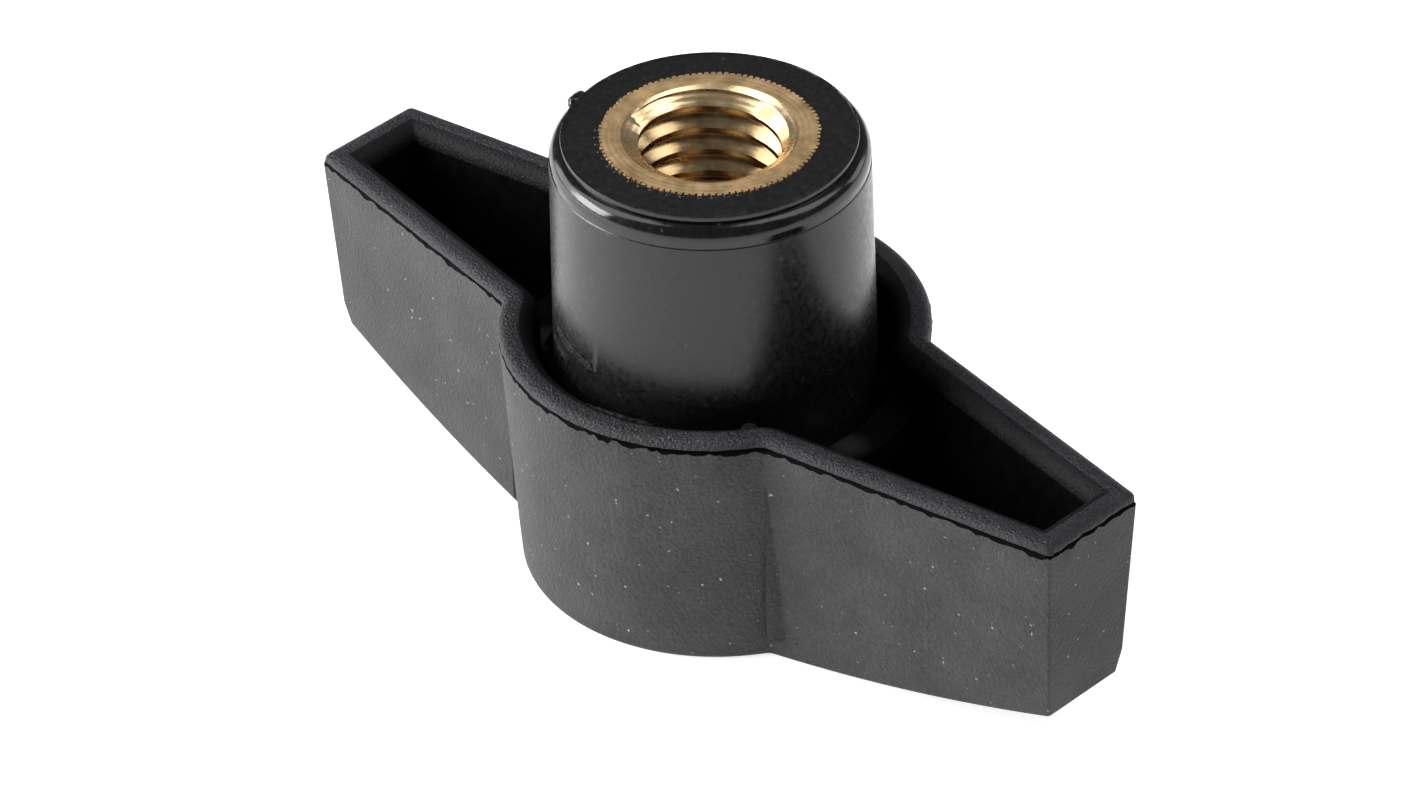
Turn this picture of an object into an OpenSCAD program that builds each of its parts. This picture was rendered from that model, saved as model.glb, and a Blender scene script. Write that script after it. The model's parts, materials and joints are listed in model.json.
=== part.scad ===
// Wing nut: a moulded glass-filled nylon body with a knurled brass thread insert.
// Frame: origin on the thread axis, on the flat closed end of the hub. +Z runs up the
// thread and out of the mouth of the boss. +X runs along the wings. Units are mm.

/* [Wings] */
// Length over both wing ends, measured at the parting line
wing_span = 60; // [46:0.5:74]
// Width of a wing at its end face
tip_width = 7.5; // [6:0.1:10]
// Width of a wing where it reaches the hub radius
root_width = 13.4; // [11:0.1:17]
// How far the closed face has risen at the wing ends
tip_rise = 3.7; // [2:0.1:7]
// How far below the hub's closed end the arc of the closed faces would bottom out
crown_drop = 0.5; // [0.3:0.1:1]

/* [Hub] */
// Outside diameter of the hub collar at the parting line
hub_d = 25.7; // [24.5:0.1:34]
// Height from the closed end of the hub to the open rim
rim_height = 16.4; // [13:0.1:20]
// Thickness of the closed end under the relief around the boss
end_thickness = 2.4; // [1.5:0.1:4]

/* [Boss] */
// Outside diameter of the boss under its shoulder
boss_d = 18.9; // [15.7:0.1:20]
// Overall height from the closed end to the clamping face
total_height = 29.4; // [24:0.1:36]
// Height of the straight edge round the clamping face
edge_height = 0.4; // [0.1:0.1:1]
// Radius of the shoulder under that edge
shoulder_radius = 0.75; // [0.3:0.05:1.5]

/* [Walls and webs] */
// Thickness of the wing walls and of the collar
wall = 2.1; // [1.4:0.1:2.6]
// Thickness of the closed face of each wing
face_thickness = 2.0; // [1.4:0.1:3]
// Depth of the webs below the open rim
web_drop = 3.6; // [1:0.1:8]

/* [Brass insert] */
// Nominal diameter of the thread
thread_d = 10; // [8:1:10]
// Pitch of the thread
thread_pitch = 1.5; // [1.25:0.25:1.5]
// Outside diameter over the knurl
insert_d = 13; // [12:0.1:14]
// Length of the insert
insert_length = 18; // [12:0.5:20]
// Depth of the retaining groove round the insert
groove_depth = 0.7; // [0.3:0.1:1]
// Width of the retaining groove
groove_width = 3; // [1.5:0.5:5]
// Width of the countersink outside the nominal thread diameter
countersink_over = 0.2; // [0.1:0.05:0.6]
// Depth of the blind pocket under the insert
well_depth = 1.5; // [0.5:0.1:3]

/* [Edges and draft] */
// Draft of the wing sides, in degrees
side_draft = 3.3; // [0:0.1:4]
// Draft of the wing end faces, in degrees
end_draft = 2.4; // [0:0.1:5]
// Draft of the outside of the hub, in degrees
hub_draft = 3; // [0:0.1:4]
// Draft of the outside of the boss, in degrees
boss_draft = 0.8; // [0:0.1:1.2]
// Draft of the cored-out spaces, in degrees
core_draft = 1; // [0:0.1:2]
// Height of the parting line below the open rim
parting_drop = 0.5; // [0.3:0.1:1.2]
// Size of the eased outer edge of the open rim
rim_edge = 0.5; // [0.2:0.1:0.9]
// Size of the eased inner edge of the open rim
mouth_edge = 0.4; // [0.1:0.1:0.8]
// Size of the eased edge round the closed end of the hub
end_edge = 0.7; // [0.2:0.1:1.5]
// Size of the eased upright corners of the wing ends
corner_edge = 0.35; // [0.1:0.05:1]

/* [Hidden] */
$fn = 120;

half_span = wing_span / 2;
hub_r = hub_d / 2;
collar_r = hub_r - wall;
boss_r = boss_d / 2;
insert_r = insert_d / 2;

// the crests of a metric thread stand at this radius inside a nut
minor_r = (thread_d - 1.0825 * thread_pitch) / 2;
countersink_r = thread_d / 2 + countersink_over;
countersink_depth = (countersink_r - minor_r) * tan(30);

parting_z = rim_height - parting_drop;
web_z = rim_height - web_drop;
insert_z = total_height - insert_length;
groove_z = insert_z + (insert_length - groove_width) / 2;
insert_lead = 0.4;
// the core pin's pocket under the insert is wider than the thread, so a long screw clears it
well_r = thread_d / 2 + 0.1;

taper_angle = atan((root_width - tip_width) / 2 / (half_span - hub_r));
// the arc of the closed faces runs from its low point under the hub up to the wing ends
crown_sag = tip_rise + crown_drop;
crown_r = (half_span * half_span + crown_sag * crown_sag) / (2 * crown_sag);
crown_z = crown_r - crown_drop;
// the closed faces start a hair above the hub's flat end
wing_foot_z = 0.05;
collar_foot_r = collar_r - (rim_height - end_thickness) * tan(core_draft);
half_space = 4 * wing_span;

brass = [0.78, 0.62, 0.36];
nylon = [0.10, 0.10, 0.11];

// all space on the inner side of one wing side; "lean" tips the plane outwards with height
module side_space(side, inset, lean, z_ref) {
  translate([half_span, side * tip_width / 2, z_ref])
    rotate([0, 0, -side * taper_angle])
      rotate([-side * lean, 0, 0])
        translate([0, -side * (half_space / 2 + inset), 0])
          cube(half_space, center = true);
}

// all space on the inner side of the wing's end face
module end_space(inset, lean, z_ref) {
  translate([half_span - inset, 0, z_ref])
    rotate([0, lean, 0])
      translate([-half_space / 2, 0, 0])
        cube(half_space, center = true);
}

// a wing's plan shape: two tapering sides and an end face
module wing_wedge(inset, side_lean, end_lean, z_ref) {
  intersection() {
    side_space(1, inset, side_lean, z_ref);
    side_space(-1, inset, side_lean, z_ref);
    end_space(inset, end_lean, z_ref);
  }
}

// the slab between the crowned closed face and a flat top, starting inside the hub
module crowned_slab(floor_z, top_z) {
  rotate([90, 0, 0])
    linear_extrude(height = hub_d * 2, center = true)
      intersection() {
        translate([0, crown_z])
          circle(r = crown_r - floor_z);
        translate([hub_r / 2, wing_foot_z])
          square([wing_span, top_z - wing_foot_z]);
      }
}

// the two upright corners of the end face, eased
module corner_space(side) {
  translate([half_span - corner_edge, side * (tip_width / 2 - corner_edge), parting_z])
    rotate([0, end_draft, side * 45])
      rotate([-side * side_draft, 0, 0])
        translate([corner_edge * 0.6 - half_space / 2, 0, 0])
          cube(half_space, center = true);
}

// outside of one wing
module wing_outside() {
  intersection() {
    crowned_slab(0, rim_height);
    wing_wedge(0, side_draft, end_draft, parting_z);
    wing_wedge(0, -45, -45, rim_height - rim_edge);
    corner_space(1);
    corner_space(-1);
  }
}

// the deep core of one wing, stopped short by the low web across its mouth
module wing_core() {
  difference() {
    intersection() {
      crowned_slab(face_thickness, rim_height + 1);
      wing_wedge(wall, core_draft, core_draft, rim_height);
      translate([boss_r, -hub_d, 0])
        cube([wing_span, 2 * hub_d, total_height]);
    }
    cylinder(r = hub_r, h = web_z);
  }
}

// the eased inner edge at the mouth of one wing
module wing_mouth() {
  intersection() {
    wing_wedge(wall, 45, 45, rim_height - mouth_edge);
    translate([boss_r, -hub_d, rim_height - mouth_edge])
      cube([wing_span, 2 * hub_d, mouth_edge + 1]);
  }
}

// outside of the round hub, with its closed end eased in two steps
module hub_outside() {
  foot_r = hub_r - parting_z * tan(hub_draft);
  rotate_extrude()
    polygon([
      [0, 0],
      [foot_r - end_edge, 0],
      [foot_r - end_edge * 0.3, end_edge * 0.3],
      [foot_r + end_edge * tan(hub_draft), end_edge],
      [hub_r, parting_z],
      [hub_r, rim_height - rim_edge],
      [hub_r - rim_edge, rim_height],
      [0, rim_height]
    ]);
}

// the round space left between collar and boss
module collar_core() {
  rotate_extrude()
    polygon([
      [0, end_thickness],
      [collar_foot_r, end_thickness],
      [collar_r, rim_height - mouth_edge],
      [collar_r + mouth_edge, rim_height],
      [collar_r + mouth_edge, rim_height + 1],
      [0, rim_height + 1]
    ]);
}

// short webs that carry the wing walls on through the relief to the boss
module root_webs() {
  difference() {
    intersection() {
      wing_wedge(0, side_draft, end_draft, parting_z);
      cylinder(r = collar_r, h = web_z);
      translate([boss_r / 2, -hub_d, 0])
        cube([hub_d, 2 * hub_d, web_z]);
    }
    wing_wedge(wall, core_draft, core_draft, rim_height);
  }
}

// the boss widens a little towards the hub, under its straight edge and rounded shoulder
module boss() {
  shoulder_z = total_height - edge_height - shoulder_radius;
  rotate_extrude()
    union() {
      polygon([
        [0, 0],
        [boss_r + shoulder_z * tan(boss_draft), 0],
        [boss_r, shoulder_z],
        [0, shoulder_z]
      ]);
      square([boss_r - shoulder_radius, total_height]);
      translate([boss_r - shoulder_radius, shoulder_z])
        circle(r = shoulder_radius);
    }
}

// space taken up by the insert, with the core pin's pocket below it
module insert_space() {
  rotate_extrude()
    polygon([
      [0, insert_z - well_depth],
      [well_r, insert_z - well_depth],
      [well_r, insert_z],
      [insert_r - insert_lead, insert_z],
      [insert_r, insert_z + insert_lead],
      [insert_r, groove_z],
      [insert_r - groove_depth, groove_z],
      [insert_r - groove_depth, groove_z + groove_width],
      [insert_r, groove_z + groove_width],
      [insert_r, total_height + 1],
      [0, total_height + 1]
    ]);
}

module both_wings() {
  children();
  rotate([0, 0, 180])
    children();
}

// the moulding: collar, two hollow wings, webs and boss in one piece
module wing_body() {
  color(nylon)
    difference() {
      union() {
        difference() {
          union() {
            hub_outside();
            both_wings()
              wing_outside();
          }
          both_wings() {
            wing_core();
            wing_mouth();
          }
          collar_core();
        }
        both_wings()
          root_webs();
        boss();
      }
      insert_space();
    }
}

// the knurled brass insert, bored to the crests of its thread
module thread_insert() {
  color(brass)
    rotate_extrude()
      polygon([
        [minor_r, insert_z],
        [insert_r - insert_lead, insert_z],
        [insert_r, insert_z + insert_lead],
        [insert_r, groove_z],
        [insert_r - groove_depth, groove_z],
        [insert_r - groove_depth, groove_z + groove_width],
        [insert_r, groove_z + groove_width],
        [insert_r, total_height],
        [countersink_r, total_height],
        [minor_r, total_height - countersink_depth]
      ]);
}

wing_body();
thread_insert();
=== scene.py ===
# %% [markdown]
# # A wing nut with a brass thread
# This lesson finishes a wing nut that already exists as an exact solid. The solid is loaded
# first and never moved. Around it come two detailed pieces: the moulded nylon body, with the
# rounded rim, fillets and flash of a real moulding, and the knurled brass insert with its
# real thread. Sizes are written in millimetres and turned into metres as the meshes are made.

# %% Load the exact solid
import bmesh
import bpy
import json
from math import atan2, cos, pi, radians, sin, sqrt, tan
from mathutils import Matrix, Vector, noise
from random import Random

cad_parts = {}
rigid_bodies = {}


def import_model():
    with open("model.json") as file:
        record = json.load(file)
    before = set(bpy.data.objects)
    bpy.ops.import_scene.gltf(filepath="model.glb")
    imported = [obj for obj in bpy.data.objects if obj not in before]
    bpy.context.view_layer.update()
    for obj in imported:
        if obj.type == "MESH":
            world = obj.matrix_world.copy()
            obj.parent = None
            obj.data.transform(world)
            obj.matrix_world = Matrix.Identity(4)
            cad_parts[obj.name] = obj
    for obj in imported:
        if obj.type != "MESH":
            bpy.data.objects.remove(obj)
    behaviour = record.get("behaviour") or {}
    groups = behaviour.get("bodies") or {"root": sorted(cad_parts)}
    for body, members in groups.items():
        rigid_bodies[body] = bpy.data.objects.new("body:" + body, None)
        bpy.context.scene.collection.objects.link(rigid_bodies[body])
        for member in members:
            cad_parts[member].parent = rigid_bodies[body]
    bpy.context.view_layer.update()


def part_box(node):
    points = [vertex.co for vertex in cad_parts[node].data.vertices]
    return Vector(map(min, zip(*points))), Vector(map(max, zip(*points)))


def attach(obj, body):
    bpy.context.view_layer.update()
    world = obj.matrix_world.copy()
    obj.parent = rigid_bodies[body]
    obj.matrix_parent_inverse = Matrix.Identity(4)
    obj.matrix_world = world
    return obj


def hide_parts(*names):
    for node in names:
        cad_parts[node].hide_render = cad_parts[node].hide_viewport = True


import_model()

MM = 0.001

# %% [markdown]
# The overall sizes come from the solid itself. Walls, edges and draft angles are the ones a
# mould maker would write beside them. Draft is the slight lean that lets a moulding slide
# out of its mould.

# %% Sizes, in millimetres
_, body_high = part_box("wing_body")
insert_low, insert_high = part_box("thread_insert")
HALF_SPAN = body_high.x / MM
HUB_R = body_high.y / MM
TOP = body_high.z / MM
INSERT_R = insert_high.x / MM
INSERT_BOTTOM = insert_low.z / MM

TIP_HALF = 3.75
ROOT_HALF = 6.7
TAPER = atan2(ROOT_HALF - TIP_HALF, HALF_SPAN - HUB_R)
TIP_RISE, CROWN_DROP = 3.7, 0.5
CROWN_SAG = TIP_RISE + CROWN_DROP
CROWN_R = (HALF_SPAN ** 2 + CROWN_SAG ** 2) / (2 * CROWN_SAG)

RIM = 16.4
PARTING = 15.9
WALL = 2.1
FACE = 2.0
HUB_FLOOR = 2.4
WEB_TOP = 12.8

BOSS_R = 9.42
SHOULDER_WIDE, SHOULDER_HIGH = 0.72, 0.95

SIDE_DRAFT = tan(radians(3.3))
END_DRAFT = tan(radians(2.4))
BOSS_DRAFT = tan(radians(0.9))
HUB_DRAFT = tan(radians(3.0))
CORE_DRAFT = tan(radians(1.0))

THREAD_R = 5.0
PITCH = 1.5
CREST_R = THREAD_R - 0.54125 * PITCH
print(f"half span {HALF_SPAN:.2f}, hub radius {HUB_R:.2f}, height {TOP:.2f} mm")
print(f"thread crest radius {CREST_R:.3f} mm, insert radius {INSERT_R:.2f} mm")

# %% [markdown]
# Every modelling operator acts on whatever is selected, and the loaded solids start out
# selected. These small helpers start each piece with a clean selection, close it and join it
# to others. New pieces start at the origin and only their points are moved, so that each
# object stays at the origin, unturned and unscaled.

# %% Helpers for selecting and finishing
def start_clean():
    """Leave object mode ready for a new primitive, with nothing selected."""
    if bpy.context.mode != "OBJECT":
        bpy.ops.object.mode_set(mode="OBJECT")
    bpy.ops.object.select_all(action="DESELECT")


def take(obj):
    """Make one object the only selected and the active one."""
    start_clean()
    obj.select_set(True)
    bpy.context.view_layer.objects.active = obj


def close_up(obj, gap=0.002):
    """Merge points that lie on each other, then turn all faces outwards."""
    take(obj)
    bpy.ops.object.mode_set(mode="EDIT")
    bpy.ops.mesh.select_all(action="SELECT")
    bpy.ops.mesh.remove_doubles(threshold=gap * MM)
    bpy.ops.mesh.normals_make_consistent(inside=False)
    bpy.ops.object.mode_set(mode="OBJECT")


def combine(obj, tool, how):
    """Add, cut away or keep the shape of one solid with another, and drop the tool."""
    take(obj)
    step = obj.modifiers.new(how.lower(), "BOOLEAN")
    step.operation = how
    step.solver = "EXACT"
    step.object = tool
    bpy.ops.object.modifier_apply(modifier=step.name)
    bpy.data.objects.remove(tool)


def copy_of(obj, name):
    """A second object with its own mesh."""
    other = obj.copy()
    other.data = obj.data.copy()
    other.name = name
    bpy.context.scene.collection.objects.link(other)
    return other


def open_edges(obj):
    """How many edges don't have exactly two faces: none on a closed solid."""
    sheet = bmesh.new()
    sheet.from_mesh(obj.data)
    count = sum(1 for edge in sheet.edges if len(edge.link_faces) != 2)
    sheet.free()
    return count


# %% [markdown]
# Seen from above, the body is a round collar with two tapering wings, and it is the same
# in all four quarters. So only one quarter is drawn. Its outline runs from the side of the
# collar, through the small hollow fillet where the wing starts, along the wing and round
# its corner to the middle of the end face. The same function draws the outline at any
# inset, so one rule gives the outside, the rim and the inside of the wall.

# %% The outline of one quarter
HUB_POINTS, FILLET_POINTS, SIDE_POINTS, CORNER_POINTS, END_POINTS = 40, 8, 48, 8, 8


def arc(centre, radius, start, stop, count):
    """Points along an arc from one direction to another."""
    turns = [start + (stop - start) * i / count for i in range(count + 1)]
    return [Vector((centre[0] + radius * cos(a), centre[1] + radius * sin(a))) for a in turns]


def outline(hub_in, side_in, end_in, fillet, corner):
    """A quarter of the plan, moved inwards by its own amount at hub, side and end."""
    across = Vector((sin(TAPER), cos(TAPER)))
    along = Vector((cos(TAPER), -sin(TAPER)))
    reach = across.dot(Vector((HALF_SPAN, TIP_HALF))) - side_in
    hub = HUB_R - hub_in
    hollow = across * (reach + fillet) + along * sqrt((hub + fillet) ** 2 - (reach + fillet) ** 2)
    facing = atan2(hollow.y, hollow.x)
    points = arc((0, 0), hub, pi / 2, facing, HUB_POINTS)
    points += arc(hollow, fillet, facing - pi, -pi / 2 - TAPER, FILLET_POINTS)[1:]
    end_x = HALF_SPAN - end_in
    pivot_y = (reach - corner - across.x * (end_x - corner)) / across.y
    corner_points = arc((end_x - corner, pivot_y), corner, pi / 2 - TAPER, 0, CORNER_POINTS)
    first, last = points[-1], corner_points[0]
    points += [first.lerp(last, i / SIDE_POINTS) for i in range(1, SIDE_POINTS)]
    points += corner_points
    points += [corner_points[-1] - Vector((0, pivot_y * i / END_POINTS))
               for i in range(1, END_POINTS + 1)]
    return points


print(f"the outline of a quarter has {len(outline(0, 0, 0, 0.5, 0.8))} points")

# %% [markdown]
# The closed face of each wing is crowned, while the hub ends in a flat round face that
# the nut stands on. One height function describes both. It rises from the flat face to the
# crown over a narrow ring at the hub's edge, as the eased step on the moulding does.

# %% The height of the closed face
STEP_START, STEP_END = 11.3, 12.4


def ease(value):
    """A smooth rise from 0 to 1."""
    value = min(max(value, 0), 1)
    return value * value * (3 - 2 * value)


def crown(x):
    """Height of the wings' crown, which starts just inside the hub's flat end."""
    return max(CROWN_R - CROWN_DROP - sqrt(CROWN_R ** 2 - x * x), 0)


def closed_face(x, y):
    """Height of the closed face under a point of the plan."""
    return crown(x) * ease((sqrt(x * x + y * y) - STEP_START) / (STEP_END - STEP_START))


def pocket_floor(x, y):
    """Height of the floor inside the moulding."""
    blend = ease((sqrt(x * x + y * y) - STEP_START) / (STEP_END - STEP_START))
    return HUB_FLOOR + (FACE + crown(x) - HUB_FLOOR) * blend


print(f"the closed face rises {closed_face(HALF_SPAN, 0):.2f} mm at the wing ends")

# %% [markdown]
# A moulding is a skin of even thickness, so it can be drawn as one long sheet. The sheet
# starts at the middle of the closed face, runs out to the edge, up the side, over the
# rounded rim, down the inside and back along the pocket floor to the middle. Each
# contour below is the outline at one height and one inset. A shallow notch runs just under
# the parting line, with a narrow upright land above it.

# %% Contours from the closed face, over the rim, to the pocket floor
HUB_EDGE, WING_EDGE = 0.45, 0.25
OUTER_FILLET, TIP_CORNER, RIM_CORNER = 0.85, 0.2, 0.55
RIM_ROUND, MOUTH_WIDE, MOUTH_DEEP = 0.6, 1.15, 1.1
FLOOR_ROUND = 0.6
MOUTH_CORNER, CORE_CORNER, FILLET_GROWTH = 0.15, 0.28, 0.7
NOTCH_LOW, NOTCH_DEEP, LAND = PARTING - 0.34, 0.16, 0.05
CAP_RIDGE, FLOOR_RIDGE = HALF_SPAN - 4.5, HALF_SPAN - 5.6
CAP_ROWS, ROUND_ROWS, SIDE_ROWS, RIM_ROWS, MOUTH_ROWS, FOOT_ROWS = 10, 6, 8, 7, 6, 4


def side_contour(depth, extra_hub=0.0, extra_wing=0.0):
    """The outer outline at some depth under the parting line, with its draft."""
    return outline(depth * HUB_DRAFT + extra_hub, depth * SIDE_DRAFT + extra_wing,
                   depth * END_DRAFT + extra_wing, OUTER_FILLET, TIP_CORNER)


def edge_size(index):
    """The closed face's edge is rounder round the hub than along the wing."""
    share = ease((index - HUB_POINTS + 6) / (FILLET_POINTS + 8))
    return HUB_EDGE + (WING_EDGE - HUB_EDGE) * share


def middle_of(point, index, spine):
    """Where the sheet meets the centre line, opposite a point of the outline."""
    side_end = HUB_POINTS + FILLET_POINTS + SIDE_POINTS
    share = min(point.x / spine[0], 1.0) if index < side_end else 1.0
    return Vector((share * spine[1], 0))


def lay_cap(edge, height, corner_x, reach):
    """Rows from the centre line out to an edge contour, at the given height function."""
    rows = []
    for step in range(CAP_ROWS):
        row = []
        for index, point in enumerate(edge):
            middle = middle_of(point, index, (corner_x, reach))
            spot = middle.lerp(point, step / CAP_ROWS)
            row.append(Vector((spot.x, spot.y, height(spot.x, spot.y))))
        rows.append(row)
    return rows


def closed_edge(turn):
    """The rounded edge between the closed face and the sides: 0 at the face, 90 at the side."""
    row = []
    lift, inset = 1 - sin(turn), 1 - cos(turn)
    for index, point in enumerate(side_contour(PARTING, HUB_EDGE * inset, WING_EDGE * inset)):
        z = closed_face(point.x, point.y) + edge_size(index) * lift
        row.append(Vector((point.x, point.y, z)))
    return row


def tip_end_x(contour):
    """x of the last point on the wing's side, before its corner."""
    return contour[HUB_POINTS + FILLET_POINTS + SIDE_POINTS].x


contours = []
flat_edge = side_contour(PARTING, HUB_EDGE, WING_EDGE)
contours += lay_cap(flat_edge, closed_face, tip_end_x(flat_edge), CAP_RIDGE)
contours += [closed_edge(radians(90 * (1 - i / ROUND_ROWS))) for i in range(ROUND_ROWS + 1)]

low_side = contours[-1]
for step in range(1, SIDE_ROWS + 1):
    share = step / SIDE_ROWS
    row = []
    for index, low in enumerate(low_side):
        z = low.z + (NOTCH_LOW - low.z) * share
        flat = side_contour(PARTING - z)[index]
        row.append(Vector((flat.x, flat.y, z)))
    contours.append(row)


def rim_contour(inset, z):
    """A contour of the rim, which has no draft, at one inset and height."""
    corner = max(RIM_CORNER - inset, MOUTH_CORNER)
    flat = outline(inset, inset, inset, OUTER_FILLET + FILLET_GROWTH * inset, corner)
    return [Vector((point.x, point.y, z)) for point in flat]


contours.append(rim_contour(NOTCH_DEEP, PARTING - 0.12))
contours.append(rim_contour(0.05, PARTING - 0.02))
contours.append(rim_contour(0.0, PARTING + LAND))
for step in range(1, RIM_ROWS + 1):
    turn = radians(90 * step / RIM_ROWS)
    contours.append(rim_contour(RIM_ROUND * (1 - cos(turn)),
                                PARTING + LAND + (RIM - PARTING - LAND) * sin(turn)))
contours.append(rim_contour((RIM_ROUND + WALL - MOUTH_WIDE) / 2, RIM))
for step in range(MOUTH_ROWS + 1):
    turn = radians(90 * step / MOUTH_ROWS)
    contours.append(rim_contour(WALL - MOUTH_WIDE * (1 - sin(turn)),
                                RIM - MOUTH_DEEP * (1 - cos(turn))))


def core_contour(depth, extra=0.0):
    """The inner outline at some depth under the rim."""
    inset = WALL + depth * CORE_DRAFT + extra
    return outline(inset, inset, inset, OUTER_FILLET + FILLET_GROWTH * WALL, CORE_CORNER)


mouth = contours[-1]
floor_edge = []
for index in range(len(mouth)):
    spot = core_contour(RIM - HUB_FLOOR)[index]
    floor_edge.append(pocket_floor(spot.x, spot.y) + FLOOR_ROUND)
for step in range(1, SIDE_ROWS + 1):
    share = step / SIDE_ROWS
    row = []
    for index, top in enumerate(mouth):
        z = top.z + (floor_edge[index] - top.z) * share
        flat = core_contour(RIM - z)[index]
        row.append(Vector((flat.x, flat.y, z)))
    contours.append(row)
foot = contours[-1]
for step in range(1, FOOT_ROWS + 1):
    turn = radians(90 * step / FOOT_ROWS)
    row = []
    for index, point in enumerate(foot):
        flat = core_contour(RIM - point.z, FLOOR_ROUND * (1 - cos(turn)) * 0.8)[index]
        row.append(Vector((flat.x, flat.y, floor_edge[index] - FLOOR_ROUND * sin(turn))))
    contours.append(row)
inner_edge = [Vector((point.x, point.y)) for point in contours[-1]]
contours += lay_cap(inner_edge, pocket_floor, tip_end_x(inner_edge), FLOOR_RIDGE)[::-1]
print(f"{len(contours)} contours of {len(contours[0])} points")

# %% [markdown]
# The sheet is drawn by extruding. It starts as one strip of squares. The strip's far edge
# is extruded again and again, and each new chain of points is laid along the next contour.
# A number stored on every point keeps the chain in order, because an extruded point takes
# a copy of it. Mirrored twice and merged, the quarter becomes the whole skin.

# %% Draw the quarter sheet and mirror it
def draw_sheet(name, rows):
    """Extrude a strip of squares from contour to contour."""
    start_clean()
    columns = len(rows[0])
    bpy.ops.mesh.primitive_grid_add(x_subdivisions=columns - 1, y_subdivisions=1, size=MM)
    obj = bpy.context.active_object
    obj.name = name
    bpy.ops.object.mode_set(mode="EDIT")
    sheet = bmesh.from_edit_mesh(obj.data)
    order = sheet.verts.layers.int.new("order")
    sheet.verts.ensure_lookup_table()
    for number, vert in enumerate(sheet.verts):
        row, column = divmod(number, columns)
        vert[order] = column
        vert.co = rows[row][column] * MM
    bpy.ops.mesh.select_mode(type="EDGE")
    bpy.ops.mesh.select_all(action="DESELECT")
    sheet = bmesh.from_edit_mesh(obj.data)
    sheet.verts.ensure_lookup_table()
    last = set(sheet.verts[columns:])
    for edge in sheet.edges:
        edge.select_set(edge.verts[0] in last and edge.verts[1] in last)
    bmesh.update_edit_mesh(obj.data)
    for row in rows[2:]:
        bpy.ops.mesh.extrude_edges_move()
        sheet = bmesh.from_edit_mesh(obj.data)
        order = sheet.verts.layers.int["order"]
        for vert in sheet.verts:
            if vert.select:
                vert.co = row[vert[order]] * MM
        bmesh.update_edit_mesh(obj.data)
    bpy.ops.object.mode_set(mode="OBJECT")
    return obj


body = draw_sheet("nylon_body", contours)
take(body)
mirror = body.modifiers.new("quarters", "MIRROR")
mirror.use_axis = (True, True, False)
mirror.merge_threshold = 0.003 * MM
bpy.ops.object.modifier_apply(modifier=mirror.name)
close_up(body)
print(f"skin: {len(body.data.polygons)} faces, {open_edges(body)} open edges")

# %% [markdown]
# Where the two halves of the mould meet, a little nylon creeps into the joint. It leaves a
# thin ragged line all round, just under the rim. The skin already has a shallow notch there.
# Its points are pushed about by smooth noise, so that the notch is wide in one place and
# closed in the next.

# %% Tear the parting line
FLASH_WAVE = 1.9


def ragged(place, seed):
    """Smooth noise along the parting line, from -1 to 1."""
    spot = Vector((place.x, place.y, 0)) / MM * FLASH_WAVE + Vector((seed, 0, seed))
    return noise.noise(spot) + 0.6 * noise.noise(spot * 2.7)


moved = 0
for vert in body.data.vertices:
    height = vert.co.z / MM
    if abs(height - NOTCH_LOW) < 0.02:
        vert.co.z = (NOTCH_LOW + min(0.03 + 0.32 * ragged(vert.co, 3), 0.17)) * MM
        moved += 1
    elif abs(height - PARTING + 0.02) < 0.01 or abs(height - PARTING - LAND) < 0.01:
        out = 1 + 0.006 * min(ragged(vert.co, 7), 0.5)
        vert.co.x = min(max(vert.co.x * out, -HALF_SPAN * MM), HALF_SPAN * MM)
        vert.co.y = min(max(vert.co.y * out, -HUB_R * MM), HUB_R * MM)
        moved += 1
print(f"parting line: {moved} points moved")

# %% [markdown]
# The boss and a few tools below are round, so each is drawn as a half profile and turned
# into a solid, as on a lathe. One helper does that. The profile starts and ends on the
# axis, which closes the solid at both ends.

# %% A helper that spins a profile
ROUND_STEPS = 168


def spin_profile(name, profile):
    """A solid of revolution from (radius, height) points that start and end on the axis."""
    start_clean()
    bpy.ops.mesh.primitive_circle_add(vertices=len(profile), radius=MM, fill_type="NOTHING")
    obj = bpy.context.active_object
    obj.name = name
    bpy.ops.object.mode_set(mode="EDIT")
    wire = bmesh.from_edit_mesh(obj.data)
    wire.verts.ensure_lookup_table()
    for vert, (radius, z) in zip(wire.verts, profile):
        vert.co = (radius * MM, 0, z * MM)
    axis_edge = wire.edges.get((wire.verts[0], wire.verts[len(profile) - 1]))
    wire.edges.remove(axis_edge)
    for vert in wire.verts:
        vert.select = True
    for edge in wire.edges:
        edge.select = True
    bmesh.update_edit_mesh(obj.data)
    bpy.ops.mesh.spin(steps=ROUND_STEPS, angle=2 * pi, center=(0, 0, 0), axis=(0, 0, 1))
    bpy.ops.object.mode_set(mode="OBJECT")
    close_up(obj)
    return obj


# %% [markdown]
# The boss widens a little towards the hub. Its shoulder is polished and rounded, a fine
# line runs just under it where two mould parts meet, and a thin lip of flash stands round
# the flat clamping face. Small seeded chances make the lip uneven, as torn flash is.

# %% The boss
LINE_DROP, LINE_DEPTH = 1.75, 0.04
LIP, LIP_STEP = 0.06, 0.42
BOSS_FOOT = 1.2
SHOULDER_Z = TOP - LIP_STEP - SHOULDER_HIGH
FLAT_R = BOSS_R - SHOULDER_WIDE


def boss_radius(z):
    """The boss widens a little towards the hub."""
    return BOSS_R + (SHOULDER_Z - z) * BOSS_DRAFT


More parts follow.
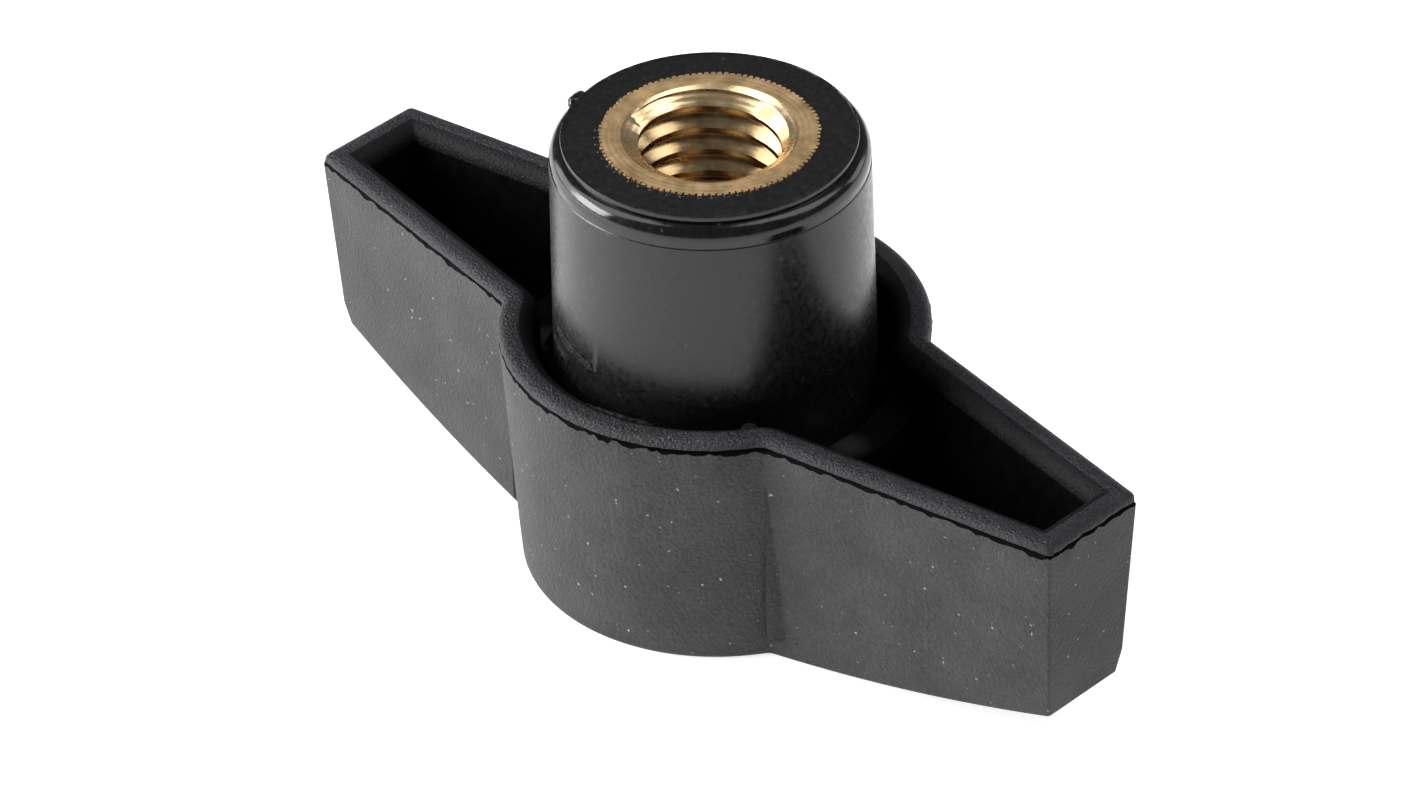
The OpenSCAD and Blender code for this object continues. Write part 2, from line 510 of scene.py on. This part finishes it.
boss_profile = [(0, BOSS_FOOT), (boss_radius(BOSS_FOOT) - 0.4, BOSS_FOOT)]
boss_profile += [(boss_radius(z), z) for z in (1.6, HUB_FLOOR + 2, 8, 12, 16, 20, 24)]
boss_profile += [(boss_radius(TOP - LINE_DROP), TOP - LINE_DROP - 0.10),
                 (BOSS_R - LINE_DEPTH, TOP - LINE_DROP - 0.04),
                 (BOSS_R - LINE_DEPTH, TOP - LINE_DROP + 0.02)]
boss_profile += [(FLAT_R + SHOULDER_WIDE * cos(a), SHOULDER_Z + SHOULDER_HIGH * sin(a))
                 for a in [radians(90 * i / 10) for i in range(11)]]
boss_profile += [(FLAT_R + 0.03, TOP - 0.12), (FLAT_R, TOP - 0.03), (FLAT_R - 0.06, TOP),
                 (FLAT_R - 0.1, TOP - LIP)]
boss_profile += [(radius, TOP - LIP) for radius in (8.1, 7.6, 7.2, 6.9, 0)]
boss = spin_profile("boss", boss_profile)
lip_chance = Random(5)
for vert in boss.data.vertices:
    if vert.co.z > (TOP - 0.01) * MM:
        vert.co.z -= lip_chance.uniform(0.0, 0.05) * MM
        vert.co.xy = vert.co.xy * lip_chance.uniform(0.997, 1.003)
print(f"boss: {len(boss.data.polygons)} faces, {open_edges(boss)} open edges")

# %% [markdown]
# Low webs tie the boss to the wings. One curved web closes the mouth of each wing: it is
# the collar's wall carrying on round, but lower than the rim. Four short straight webs carry
# the wing walls on to the boss. They are simple blocks with a softened top, so that their
# ends can run into the walls around them and merge there.

# %% The webs
MOUTH_WEB_HALF = radians(33)
WEB_SOFT = 0.3
WEB_FOOT = 1.5
ROOT_WEB_START, ROOT_WEB_END, ROOT_WEB_INSET = 5.6, 10.9, 0.8


def soften_top(obj):
    """Round the top edges of a web a little."""
    take(obj)
    bpy.ops.object.mode_set(mode="EDIT")
    web = bmesh.from_edit_mesh(obj.data)
    top = max(vert.co.z for vert in web.verts)
    for edge in web.edges:
        edge.select = all(abs(vert.co.z - top) < 0.01 * MM for vert in edge.verts) and len(
            edge.link_faces) == 2 and edge.calc_face_angle() > radians(40)
    bmesh.update_edit_mesh(obj.data)
    bpy.ops.mesh.select_mode(type="EDGE")
    bpy.ops.mesh.bevel(offset=WEB_SOFT * MM, segments=3, affect="EDGES")
    bpy.ops.object.mode_set(mode="OBJECT")


def mouth_web(turn):
    """The curved web across one wing's mouth."""
    start_clean()
    inner, outer = HUB_R - WALL - 0.15, HUB_R - 0.05
    bpy.ops.mesh.primitive_plane_add(size=MM)
    obj = bpy.context.active_object
    obj.name = "mouth_web"
    bpy.ops.object.mode_set(mode="EDIT")
    web = bmesh.from_edit_mesh(obj.data)
    corners = [(inner, WEB_FOOT), (outer, WEB_FOOT), (inner, WEB_TOP), (outer, WEB_TOP)]
    for vert, (radius, z) in zip(web.verts, corners):
        vert.co = Matrix.Rotation(turn + MOUTH_WEB_HALF, 3, "Z") @ Vector(
            (radius * MM, 0, z * MM))
    bmesh.update_edit_mesh(obj.data)
    bpy.ops.mesh.select_all(action="SELECT")
    bpy.ops.mesh.spin(steps=24, angle=2 * MOUTH_WEB_HALF, center=(0, 0, 0), axis=(0, 0, 1))
    bpy.ops.object.mode_set(mode="OBJECT")
    return obj


def root_web(side_x, side_y):
    """A straight web that carries one wing wall on to the boss."""
    start_clean()
    bpy.ops.mesh.primitive_cube_add(size=MM)
    obj = bpy.context.active_object
    obj.name = "root_web"
    depth = RIM - WEB_TOP
    across = Vector((sin(TAPER), cos(TAPER)))
    along = Vector((cos(TAPER), -sin(TAPER)))
    reach = across.dot(Vector((HALF_SPAN, TIP_HALF)))
    for vert in obj.data.vertices:
        run = ROOT_WEB_START if vert.co.x < 0 else ROOT_WEB_END
        inset = ROOT_WEB_INSET if vert.co.y > 0 else WALL + depth * CORE_DRAFT
        spot = across * (reach - inset) + along * run
        z = WEB_FOOT if vert.co.z < 0 else WEB_TOP - 0.02
        vert.co = (side_x * spot.x * MM, side_y * spot.y * MM, z * MM)
    close_up(obj)
    soften_top(obj)
    return obj


for turn in (0, pi):
    web = mouth_web(turn)
    close_up(web)
    print(f"mouth web: {open_edges(web)} open edges")
    combine(body, web, "UNION")
for side_x, side_y in ((1, 1), (1, -1), (-1, 1), (-1, -1)):
    combine(body, root_web(side_x, side_y), "UNION")
combine(body, boss, "UNION")
print(f"body with boss and webs: {len(body.data.polygons)} faces, {open_edges(body)} open edges")

# %% [markdown]
# A moulding like this is trimmed by hand, and small faults stay behind: a nib on the edge of
# the clamping face, torn slivers of flash along the collar's inner edge, a scraped patch at
# the foot of the boss and beads of nylon that crept between the teeth of the insert. Each
# one is a small round or curved block pushed about by noise. They are joined into one tool
# and added to the body in one step.

# %% Faults left by the mould
def roughen(obj, amount, seed):
    """Push the points of a small piece about by smooth noise."""
    for vert in obj.data.vertices:
        spot = vert.co / MM * 2.6 + Vector((seed, seed, 0))
        vert.co += noise.noise_vector(spot) * amount * MM


def blob(turn, radius, z, size, seed):
    """A small lump of nylon at an angle, a radius and a height."""
    start_clean()
    bpy.ops.mesh.primitive_ico_sphere_add(subdivisions=3, radius=MM)
    obj = bpy.context.active_object
    place = Matrix.Rotation(turn, 4, "Z") @ Matrix.Translation((radius * MM, 0, z * MM))
    for vert in obj.data.vertices:
        vert.co = place @ Vector([part * length for part, length in zip(vert.co, size)])
    roughen(obj, min(size) * 0.35, seed)
    return obj


def sliver(start, stop, inner, outer, low, high, slope, seed):
    """A curved strip of flash between two angles, thinning to both ends."""
    start_clean()
    bpy.ops.mesh.primitive_circle_add(vertices=6, radius=MM, fill_type="NGON")
    obj = bpy.context.active_object
    bpy.ops.object.mode_set(mode="EDIT")
    bpy.ops.mesh.select_all(action="SELECT")
    strip = bmesh.from_edit_mesh(obj.data)
    middle = Vector(((inner + outer) / 2, 0, (low + high) / 2))
    for number, vert in enumerate(strip.verts):
        turn = 2 * pi * number / 6
        spot = middle + Vector(((outer - inner) / 2 * cos(turn), 0, (high - low) / 2 * sin(turn)))
        vert.co = Matrix.Rotation(stop, 3, "Z") @ (spot * MM)
    bmesh.update_edit_mesh(obj.data)
    bpy.ops.mesh.spin(steps=36, angle=stop - start, center=(0, 0, 0), axis=(0, 0, 1))
    bpy.ops.object.mode_set(mode="OBJECT")
    for vert in obj.data.vertices:
        turn = atan2(vert.co.y, vert.co.x) % (2 * pi)
        share = min(max((turn - start) / (stop - start), 0.0), 1.0)
        thin = max(sin(pi * share), 0.08) ** 0.5
        heart = Matrix.Rotation(turn, 3, "Z") @ (middle * MM)
        vert.co = heart + (vert.co - heart) * thin + Vector((0, 0, slope * (share - 0.5) * MM))
    roughen(obj, 0.10, seed)
    close_up(obj, 0.0005)
    return obj


fault_chance = Random(23)
faults = [
    blob(radians(194.5), 9.02, TOP - 0.42, (0.42, 0.8, 0.36), 1),
    blob(radians(203), 8.72, TOP - 0.3, (0.18, 0.4, 0.2), 2),
    blob(radians(324.5), 11.15, RIM - 0.24, (0.42, 0.5, 0.15), 3),
    sliver(radians(272), radians(297), 10.95, 11.25, RIM - 0.32, RIM - 0.08, 0.1, 4),
    sliver(radians(240), radians(268), 9.42, 9.78, 17.0, 18.1, -0.7, 5),
    sliver(radians(236), radians(252), 9.45, 9.74, 16.2, 16.9, -0.5, 6)]
for number in range(16):
    turn = radians(216 + 7.6 * number + fault_chance.uniform(-2.5, 2.5))
    width = fault_chance.uniform(0.12, 0.24)
    faults.append(blob(turn, INSERT_R + 0.1, TOP - LIP - 0.02, (0.16, width, 0.08), number))
start_clean()
for fault in faults:
    fault.select_set(True)
bpy.context.view_layer.objects.active = faults[0]
bpy.ops.object.join()
combine(body, bpy.context.active_object, "UNION")
print(f"body with its faults: {len(body.data.polygons)} faces, {open_edges(body)} open edges")

# %% [markdown]
# The insert starts as a turned blank with fine straight teeth all round. The nylon flows
# between the teeth when it is moulded on, which is what keeps the insert from turning. The
# blank is extruded upwards from a toothed disc, with a groove half way that locks it
# lengthwise. The same blank, copied, is what cuts its seat out of the nylon.

# %% The knurled blank
TEETH, TOOTH_DEPTH = 104, 0.24
LEAD_IN = 0.35
chance = Random(11)
GROOVE_DEPTH, GROOVE_WIDTH = 0.7, 3.0
GROOVE_Z = INSERT_BOTTOM + (TOP - INSERT_BOTTOM - GROOVE_WIDTH) / 2


def toothed_blank():
    """A toothed disc with worn, uneven teeth, extruded up to the clamping face."""
    start_clean()
    bpy.ops.mesh.primitive_circle_add(vertices=4 * TEETH, radius=INSERT_R * MM, fill_type="NGON")
    obj = bpy.context.active_object
    obj.name = "brass_insert"
    wear = [chance.uniform(-0.07, 0.03) for _ in range(TEETH)]
    slip = [chance.uniform(-0.05, 0.05) for _ in range(TEETH)]
    gap = [chance.uniform(0.6, 1.15) * TOOTH_DEPTH for _ in range(TEETH)]
    for number, vert in enumerate(obj.data.vertices):
        tooth, corner = divmod(number, 4)
        turn = 2 * pi * (tooth + (0.04, 0.56, 0.68, 0.88)[corner] + slip[tooth]) / TEETH
        radius = INSERT_R + wear[tooth] if corner < 2 else INSERT_R - gap[tooth]
        if corner == 1:
            radius += chance.uniform(-0.03, 0.0)
        vert.co = (radius * cos(turn) * MM, radius * sin(turn) * MM, INSERT_BOTTOM * MM)
    bpy.ops.object.mode_set(mode="EDIT")
    bpy.ops.mesh.select_all(action="SELECT")
    lead = 1 - LEAD_IN / INSERT_R
    waist = (INSERT_R - GROOVE_DEPTH) / INSERT_R
    steps = [(LEAD_IN, 1 / lead), (GROOVE_Z - INSERT_BOTTOM - LEAD_IN, 1), (0, waist),
             (GROOVE_WIDTH, 1), (0, 1 / waist), (TOP - GROOVE_Z - GROOVE_WIDTH, 1)]
    bpy.ops.transform.resize(value=(lead, lead, 1))
    for rise, scale in steps:
        bpy.ops.mesh.extrude_region_move(TRANSFORM_OT_translate={"value": (0, 0, rise * MM)})
        bpy.ops.transform.resize(value=(scale, scale, 1), center_override=(0, 0, 0))
    bpy.ops.object.mode_set(mode="OBJECT")
    close_up(obj, 0.0005)
    return obj


insert = toothed_blank()
seat = copy_of(insert, "insert_seat")
print(f"blank: {len(insert.data.polygons)} faces, {open_edges(insert)} open edges")

# %% [markdown]
# The thread is one pitch of profile swept along a helix, made into a solid screw and cut
# out of the blank, as a tap does. The screw operator turns and lifts the profile together.
# Its two ends are closed with a face each, well outside the insert.

# %% The screw that cuts the thread
THREAD_STEPS, THREAD_TURNS = 80, 15


def thread_profile():
    """One pitch of a 60 degree internal thread as (radius, height), with soft corners."""
    crest, root = PITCH / 4, PITCH / 8
    flank = (PITCH - crest - root) / 2
    soft = 0.05
    return [(CREST_R, soft), (CREST_R, crest - soft),
            (CREST_R + soft * 0.7, crest + soft * 0.2),
            (THREAD_R - soft * 0.9, crest + flank - soft * 0.5), (THREAD_R, crest + flank + soft),
            (THREAD_R, crest + flank + root - soft),
            (THREAD_R - soft * 0.9, crest + flank + root + soft * 0.5),
            (CREST_R + soft * 0.7, PITCH - soft * 0.2), (CREST_R, PITCH + soft)]


def screw_solid(turns):
    """A solid screw, longer than the insert at both ends."""
    start_clean()
    profile = thread_profile()
    bpy.ops.mesh.primitive_circle_add(vertices=len(profile), radius=MM, fill_type="NOTHING")
    obj = bpy.context.active_object
    obj.name = "screw"
    low = INSERT_BOTTOM - 1.2 * PITCH
    bpy.ops.object.mode_set(mode="EDIT")
    wire = bmesh.from_edit_mesh(obj.data)
    wire.verts.ensure_lookup_table()
    for vert, (radius, z) in zip(wire.verts, profile):
        vert.co = (radius * MM, 0, (low + z) * MM)
    wire.edges.remove(wire.edges.get((wire.verts[0], wire.verts[len(profile) - 1])))
    bmesh.update_edit_mesh(obj.data)
    bpy.ops.object.mode_set(mode="OBJECT")
    sweep = obj.modifiers.new("helix", "SCREW")
    sweep.axis = "Z"
    sweep.angle = 2 * pi
    sweep.screw_offset = PITCH * MM
    sweep.iterations = turns
    sweep.steps = THREAD_STEPS
    sweep.render_steps = THREAD_STEPS
    sweep.use_merge_vertices = False
    take(obj)
    bpy.ops.object.modifier_apply(modifier=sweep.name)
    bpy.ops.object.mode_set(mode="EDIT")
    bpy.ops.mesh.select_all(action="SELECT")
    bpy.ops.mesh.remove_doubles(threshold=0.004 * MM)
    middle = (INSERT_BOTTOM + TOP) / 2 * MM
    for upper in (False, True):
        bpy.ops.mesh.select_all(action="DESELECT")
        ends = bmesh.from_edit_mesh(obj.data)
        for edge in ends.edges:
            if len(edge.link_faces) == 1 and (edge.verts[0].co.z > middle) == upper:
                edge.select = True
        bmesh.update_edit_mesh(obj.data)
        bpy.ops.mesh.edge_face_add()
    bpy.ops.object.mode_set(mode="OBJECT")
    close_up(obj, 0.0005)
    return obj


screw = screw_solid(THREAD_TURNS)
print(f"screw: {len(screw.data.polygons)} faces, {open_edges(screw)} open edges")
combine(insert, screw, "DIFFERENCE")
print(f"threaded insert: {len(insert.data.polygons)} faces, {open_edges(insert)} open edges")

# %% [markdown]
# A wide countersink leads the screw in. It is a shallow cone, cut with a spun tool, and it
# trims the first turn of the thread to the thin blade that a real tap leaves.

# %% The countersink
COUNTERSINK_R = THREAD_R + 0.2
CONE = tan(radians(30))
cone_low = TOP - COUNTERSINK_R * CONE
cone_tool = spin_profile("cone_tool", [(0, cone_low), (COUNTERSINK_R + 1, TOP + CONE),
                                       (COUNTERSINK_R + 1, TOP + 2), (0, TOP + 2)])
combine(insert, cone_tool, "DIFFERENCE")
print(f"insert: {len(insert.data.polygons)} faces, {open_edges(insert)} open edges")

# %% [markdown]
# The seat in the nylon is cut with the blank's copy. Below it the mould's core pin leaves
# a short blind pocket, a little wider than the thread.

# %% Cut the seat and the pocket
combine(body, seat, "DIFFERENCE")
WELL_R, WELL_DEPTH = THREAD_R + 0.1, 1.5
well = spin_profile("well", [(0, INSERT_BOTTOM - WELL_DEPTH), (WELL_R, INSERT_BOTTOM - WELL_DEPTH),
                             (WELL_R, INSERT_BOTTOM + 0.5), (0, INSERT_BOTTOM + 0.5)])
combine(body, well, "DIFFERENCE")
print(f"body: {len(body.data.polygons)} faces, {open_edges(body)} open edges")

# %% [markdown]
# Smooth shading by angle keeps rounded edges soft and real corners crisp.

# %% Shade both pieces
for piece, limit in ((body, 32), (insert, 30)):
    take(piece)
    bpy.ops.object.shade_smooth_by_angle(angle=radians(limit))


# %% [markdown]
# # Finishes
# Every finish here is built from noise in the object's own coordinates, so it needs no
# pictures and stays the same size on any face. These helpers add one node each: noise, a
# colour ramp, a change of range and a bump.

# %% Helpers for materials
def new_material(name):
    """A material with its shader, coordinates and an easy way to add nodes."""
    material = bpy.data.materials.new(name)
    material.use_nodes = True
    nodes, links = material.node_tree.nodes, material.node_tree.links
    shader = nodes["Principled BSDF"]
    where = nodes.new("ShaderNodeTexCoord").outputs["Object"]
    return material, nodes, links, shader, where


def grain(nodes, links, where, scale, detail):
    """Noise at a scale given per metre."""
    texture = nodes.new("ShaderNodeTexNoise")
    texture.inputs["Scale"].default_value = scale
    texture.inputs["Detail"].default_value = detail
    texture.inputs["Roughness"].default_value = 0.55
    links.new(where, texture.inputs["Vector"])
    return texture.outputs["Fac"]


def ramp(nodes, links, value, stops):
    """A colour ramp over a value, from (position, colour) stops."""
    node = nodes.new("ShaderNodeValToRGB")
    points = node.color_ramp.elements
    while len(points) < len(stops):
        points.new(0.5)
    for point, (position, colour) in zip(points, stops):
        point.position = position
        point.color = (*colour, 1)
    links.new(value, node.inputs["Fac"])
    return node.outputs["Color"]


def span(nodes, links, value, low, high, to_low, to_high):
    """Map one range of a value on to another."""
    node = nodes.new("ShaderNodeMapRange")
    for key, number in (("From Min", low), ("From Max", high), ("To Min", to_low),
                        ("To Max", to_high)):
        node.inputs[key].default_value = number
    links.new(value, node.inputs["Value"])
    return node.outputs["Result"]


def bump(nodes, links, height, depth, strength):
    """Bump of a real depth in metres."""
    node = nodes.new("ShaderNodeBump")
    node.inputs["Distance"].default_value = depth
    node.inputs["Strength"].default_value = strength
    links.new(height, node.inputs["Height"])
    return node.outputs["Normal"]


# %% [markdown]
# Glass-filled nylon is black, with a finish that copies its mould. The outside was
# spark-eroded to a fine matt grain. The rim is a little smoother and the boss comes from
# polished steel. The cored insides are dull, and their near-black colour, also given to the
# notch under the parting line, is painted shade, as is the darker colour of the rim's inner
# half. Pale specks are ends of glass fibre.

# %% Nylon finishes
def nylon(name, dark, light, rough_low, rough_high, grain_scale, grain_depth, strength,
          shine=0.5, speck=0.12):
    """Black glass-filled nylon with its mould's grain, cloudy flow marks and pale specks."""
    material, nodes, links, shader, where = new_material(name)
    shader.inputs["Specular IOR Level"].default_value = shine
    fine = grain(nodes, links, where, grain_scale, 3)
    cloud = grain(nodes, links, where, 260, 4)
    mixed = nodes.new("ShaderNodeMath")
    mixed.operation = "MULTIPLY_ADD"
    links.new(fine, mixed.inputs[0])
    mixed.inputs[1].default_value = 1.4
    links.new(span(nodes, links, cloud, 0.3, 0.7, -0.32, -0.08), mixed.inputs[2])
    tone = ramp(nodes, links, mixed.outputs[0], ((0.25, dark), (0.75, light)))
    glass = grain(nodes, links, where, 2600, 1)
    spots = nodes.new("ShaderNodeMix")
    spots.data_type = "RGBA"
    links.new(span(nodes, links, glass, 0.74, 0.8, 0.0, 1.0), spots.inputs["Factor"])
    links.new(tone, spots.inputs["A"])
    spots.inputs["B"].default_value = (speck, speck, speck, 1)
    links.new(spots.outputs["Result"], shader.inputs["Base Color"])
    links.new(span(nodes, links, fine, 0.3, 0.7, rough_low, rough_high),
              shader.inputs["Roughness"])
    links.new(bump(nodes, links, fine, grain_depth, strength), shader.inputs["Normal"])
    return material


matt = nylon("nylon_eroded", (0.001, 0.001, 0.0014), (0.041, 0.041, 0.039), 0.48, 0.78,
             4400, 0.00016, 0.9, speck=0.3)
polished = nylon("nylon_polished", (0.005, 0.005, 0.0055), (0.010, 0.010, 0.0105), 0.24, 0.38,
                 2600, 0.00003, 0.15, shine=0.45, speck=0.05)
rim_finish = nylon("nylon_rim", (0.001, 0.001, 0.002), (0.027, 0.027, 0.035), 0.36, 0.62,
                   6000, 0.00020, 1.0, shine=0.42, speck=0.09)
# Painted shade: a darker nylon for the inner half of the rim.
rim_mouth_shade = nylon("nylon_rim_inside", (0.001, 0.001, 0.0015), (0.010, 0.010, 0.012), 0.5, 0.65,
                   6000, 0.00012, 0.8, shine=0.16, speck=0.03)
glossy = nylon("nylon_glossy", (0.003, 0.003, 0.0035), (0.007, 0.007, 0.0075), 0.10, 0.22,
               1300, 0.00006, 0.2, shine=0.5, speck=0.04)
# Painted shade: near-black, dull nylon for the pockets, webs and notch, where shade falls.
core_shade = nylon("nylon_core_shade", (0.002, 0.002, 0.002), (0.004, 0.004, 0.004), 0.5, 0.62,
                    1500, 0.00006, 0.4, shine=0.05, speck=0.008)


def paint_highlight_spots(material, spots):
    """Paint highlights: let a dull material shine round a few spots, where light falls on the
    webs' tops.
    """
    nodes, links = material.node_tree.nodes, material.node_tree.links
    shader = nodes["Principled BSDF"]
    where = nodes.new("ShaderNodeTexCoord").outputs["Object"]
    total = None
    for spot in spots:
        gap = nodes.new("ShaderNodeVectorMath")
        gap.operation = "DISTANCE"
        gap.inputs[1].default_value = [part * MM for part in spot]
        links.new(where, gap.inputs[0])
        near = span(nodes, links, gap.outputs["Value"], 0.4 * MM, 1.4 * MM, 0.5, 0.02)
        if total is None:
            total = near
        else:
            both = nodes.new("ShaderNodeMath")
            both.operation = "MAXIMUM"
            links.new(total, both.inputs[0])
            links.new(near, both.inputs[1])
            total = both.outputs[0]
    links.new(total, shader.inputs["Specular IOR Level"])


# Painted highlights on the two lit patches of the webs' tops.
paint_highlight_spots(core_shade, [(11.3, -0.5, WEB_TOP), (-9.7, -4.9, WEB_TOP)])
print(f"nylon: {len(bpy.data.materials)} materials so far")

# %% [markdown]
# The insert is turned brass. The tool leaves fine rings on its end face. The countersink is
# smoother, with a lighter colour that is a painted highlight, and the thread's darker colour
# is painted shade. One function makes all three from two colours and two roughnesses.

# %% Brass finish
def brass_finish(name, dark, light, rough_low, rough_high, ring_strength):
    """Turned brass: fine rings left by the tool, and slightly uneven colour."""
    material, nodes, links, shader, where = new_material(name)
    shader.inputs["Metallic"].default_value = 1.0
    cloud = grain(nodes, links, where, 900, 3)
    links.new(ramp(nodes, links, cloud, ((0.3, dark), (0.7, light))),
              shader.inputs["Base Color"])
    rings = nodes.new("ShaderNodeTexWave")
    rings.wave_type = "RINGS"
    rings.rings_direction = "Z"
    rings.inputs["Scale"].default_value = 900
    rings.inputs["Distortion"].default_value = 1.5
    rings.inputs["Detail"].default_value = 2
    links.new(where, rings.inputs["Vector"])
    links.new(span(nodes, links, cloud, 0.3, 0.7, rough_low, rough_high),
              shader.inputs["Roughness"])
    links.new(bump(nodes, links, rings.outputs["Fac"], 0.00003, ring_strength),
              shader.inputs["Normal"])
    return material


brass_face = brass_finish("brass_turned", (0.80, 0.55, 0.28), (0.95, 0.67, 0.36), 0.42, 0.54, 0.3)
# Painted highlight: the cone's brass is lighter than the face's.
brass_cone_highlight = brass_finish("brass_cone_highlight", (0.86, 0.62, 0.33), (1.0, 0.76, 0.45), 0.20, 0.30, 0.2)
# Painted shade: the thread's brass is darker than the face's.
brass_thread_shade = brass_finish("brass_thread_shade", (0.40, 0.26, 0.12), (0.66, 0.48, 0.27), 0.17, 0.26,
                            0.05)

# %% [markdown]
# One skin carries several finishes, so each face gets its own by where it lies: on the boss,
# over the parting line, in the notch, inside the walls or outside them. The notch and the
# insides get a painted shade finish, the rim's inner half a darker painted shade. On the
# insert, the cone is told from the thread by the way its faces lean.

# %% Give each face its finish
body.data.materials.clear()
for material in (matt, polished, rim_finish, core_shade, rim_mouth_shade, glossy):
    body.data.materials.append(material)
MATT, POLISHED, RIM_FINISH, CORE_SHADE, RIM_MOUTH_SHADE, GLOSSY = range(6)


def wall_inset(x, y):
    """How far inside the outer side of the wing or collar a point lies."""
    reach = abs(x) * sin(TAPER) + abs(y) * cos(TAPER)
    wing = HALF_SPAN * sin(TAPER) + TIP_HALF * cos(TAPER) - reach
    return max(min(wing, HALF_SPAN - abs(x)), HUB_R - sqrt(x * x + y * y))


MOUTH_INSET, INSIDE_INSET, NOTCH_INSET, FLOOR_GAP = 1.25, 1.7, 0.3, 1.5


def finish_of(centre):
    """Which finish a face has, from where its middle lies in millimetres."""
    radius = sqrt(centre.x ** 2 + centre.y ** 2)
    if radius < boss_radius(centre.z) + 0.05 and centre.z > HUB_FLOOR:
        return GLOSSY if TOP - 1.7 < centre.z < TOP - 0.1 else POLISHED
    inset = wall_inset(centre.x, centre.y)
    # The inner half of the rim gets the darker painted shade finish.
    if centre.z > RIM - MOUTH_DEEP and inset > MOUTH_INSET:
        return RIM_MOUTH_SHADE
    if centre.z > PARTING:
        return RIM_FINISH
    # The notch under the parting line gets the painted shade finish, a painted shadow line.
    if centre.z > PARTING - 0.5 and inset < NOTCH_INSET:
        return CORE_SHADE
    # The insides of the walls, the webs and the pocket floors get the painted shade finish.
    if centre.z > closed_face(centre.x, centre.y) + FLOOR_GAP and inset > INSIDE_INSET:
        return CORE_SHADE
    return MATT


for face in body.data.polygons:
    face.material_index = finish_of(face.center / MM)
insert.data.materials.clear()
for material in (brass_face, brass_cone_highlight, brass_thread_shade):
    insert.data.materials.append(material)
for face in insert.data.polygons:
    centre = face.center / MM
    in_bore = sqrt(centre.x ** 2 + centre.y ** 2) < COUNTERSINK_R and centre.z < TOP - 0.02
    on_cone = abs(face.normal.z - cos(radians(30))) < 0.04 and centre.z > TOP - 0.8
    face.material_index = (1 if on_cone else 2) if in_bore else 0
outside = sum(1 for face in body.data.polygons if face.material_index == MATT)
print(f"{outside} of the body's {len(body.data.polygons)} faces are matt")

# %% [markdown]
# # The set
# A pale floor, soft boxes and a long lens, as for a catalogue. Two large boxes light the
# top, a small strong one low on the left shapes the sides, and two at the back draw bright
# edges along the rim. Directions are given as the camera sees them: right, away and up.

# %% Floor, lights and camera
AZIMUTH, ELEVATION, ROLL = radians(45.2609), radians(35.6812), radians(-1.6669)
back = Vector((sin(AZIMUTH) * cos(ELEVATION), -cos(AZIMUTH) * cos(ELEVATION), sin(ELEVATION)))
right = Vector((cos(AZIMUTH), sin(AZIMUTH), 0))
away = Vector((-sin(AZIMUTH), cos(AZIMUTH), 0))
up = back.cross(right)
side = cos(ROLL) * right + sin(ROLL) * up
head = -sin(ROLL) * right + cos(ROLL) * up
DISTANCE, SHIFT_SIDE, SHIFT_HEAD = 414.11, -0.2977, -4.4863

start_clean()
bpy.ops.mesh.primitive_plane_add(size=3, location=(0, 0, -0.02 * MM))
floor = bpy.context.active_object
floor.name = "floor"
paper = bpy.data.materials.new("paper")
paper.use_nodes = True
paper_shader = paper.node_tree.nodes["Principled BSDF"]
paper_shader.inputs["Base Color"].default_value = (0.8, 0.8, 0.8, 1)
paper_shader.inputs["Roughness"].default_value = 0.9
paper_shader.inputs["Specular IOR Level"].default_value = 0.0
paper_shader.inputs["Emission Color"].default_value = (1, 1, 1, 1)
paper_shader.inputs["Emission Strength"].default_value = 0.8
floor.data.materials.append(paper)

world = bpy.data.worlds.new("studio")
world.use_nodes = True
world.node_tree.nodes["Background"].inputs["Color"].default_value = (1, 1, 1, 1)
world.node_tree.nodes["Background"].inputs["Strength"].default_value = 0.15
bpy.context.scene.world = world
bpy.context.scene.view_settings.view_transform = "Standard"


def soft_box(name, facing, distance, width, height, radiance):
    """A soft light, turned to face the middle of the set."""
    start_clean()
    facing = Vector(facing).normalized()
    place = (right * facing.x + away * facing.y + Vector((0, 0, facing.z))) * distance
    bpy.ops.object.light_add(type="AREA", location=(place + Vector((0, 0, 15))) * MM)
    lamp = bpy.context.active_object
    lamp.name = name
    lamp.data.shape = "RECTANGLE"
    lamp.data.size = width * MM
    lamp.data.size_y = height * MM
    lamp.data.energy = radiance * pi * width * height * MM * MM
    lamp.rotation_euler = (-place).to_track_quat("-Z", "Y").to_euler()


soft_box("left_box", (-0.62, 0.1, 0.74), 400, 260, 360, 2.8)
soft_box("right_box", (0.52, 0.0, 0.80), 400, 230, 360, 2.4)
soft_box("low_left_box", (-0.97, 0.0, 0.32), 250, 130, 130, 14.5)
soft_box("back_left_box", (-0.85, 0.5, 0.28), 420, 200, 200, 3.5)
soft_box("back_right_box", (0.85, 0.5, 0.28), 420, 160, 160, 2.0)

start_clean()
bpy.ops.object.camera_add()
camera = bpy.context.active_object
place = (side * SHIFT_SIDE + head * SHIFT_HEAD + back * DISTANCE + Vector((0, 0, PARTING))) * MM
camera.matrix_world = Matrix.Translation(place) @ Matrix((side, head, back)).transposed().to_4x4()
camera.data.sensor_width = 36
camera.data.lens = 177.357
camera.data.clip_start = 0.01
camera.data.clip_end = 20
bpy.context.scene.camera = camera
print(f"camera {DISTANCE:.0f} mm away, lens {camera.data.lens:.0f} mm")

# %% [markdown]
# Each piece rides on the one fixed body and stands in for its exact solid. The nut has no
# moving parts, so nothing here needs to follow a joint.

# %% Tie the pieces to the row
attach(body, "root")
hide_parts("wing_body")
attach(insert, "root")
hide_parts("thread_insert")
